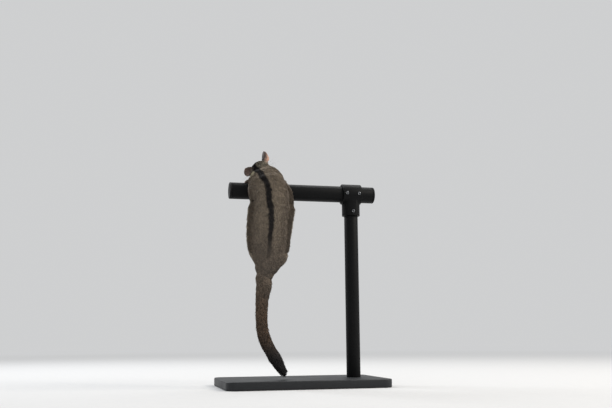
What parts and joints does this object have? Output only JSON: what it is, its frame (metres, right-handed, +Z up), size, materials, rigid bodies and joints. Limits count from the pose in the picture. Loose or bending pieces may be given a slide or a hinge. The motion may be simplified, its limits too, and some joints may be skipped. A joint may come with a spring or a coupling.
{
  "type": "sugar glider",
  "caption": "Life-size small gliding possum seen from behind, hauling itself up over a round bar with its tail hanging, on a plain display stand.",
  "frame": {"origin": "on the floor, at the middle of the part's box, which is also the middle of the base", "axes": "+Z up, the longest extent; +Y the way the animal looks over the bar, the shortest extent; +X to the animal's right, along the bar towards the rod"},
  "size_m": [0.24, 0.15, 0.3561],
  "materials": {
    "coat": "short dense fur, matt, grey brown with a dark stripe down the back",
    "tail_coat": "longer bushy fur, brown grey, darker at the tip",
    "membrane": "thin furred skin with a pale edge",
    "skin": "bare pink skin, soft, slightly satin",
    "eye": "wet black, very glossy",
    "stand_metal": "black powder coat, satin",
    "stand_base": "black painted board, satin"
  },
  "bodies": {
    "root": {"torso": "coat", "head": "coat", "neck": "coat", "upper_arm_left": "coat", "forearm_left": "coat", "thigh_left": "coat", "shank_left": "coat", "upper_arm_right": "coat", "forearm_right": "coat", "thigh_right": "coat", "shank_right": "coat", "tail_1": "tail_coat", "tail_2": "tail_coat", "tail_3": "tail_coat", "tail_4": "tail_coat", "membrane_left": "membrane", "membrane_right": "membrane", "nose": "skin", "ear_left": "skin", "hand_left": "skin", "foot_left": "skin", "ear_right": "skin", "hand_right": "skin", "foot_right": "skin", "eye_left": "eye", "eye_right": "eye", "perch_bar": "stand_metal", "stand_rod": "stand_metal", "stand_collar": "stand_metal", "perch_cap_left": "stand_metal", "perch_cap_right": "stand_metal", "stand_base": "stand_base"}
  },
  "joints": []
}
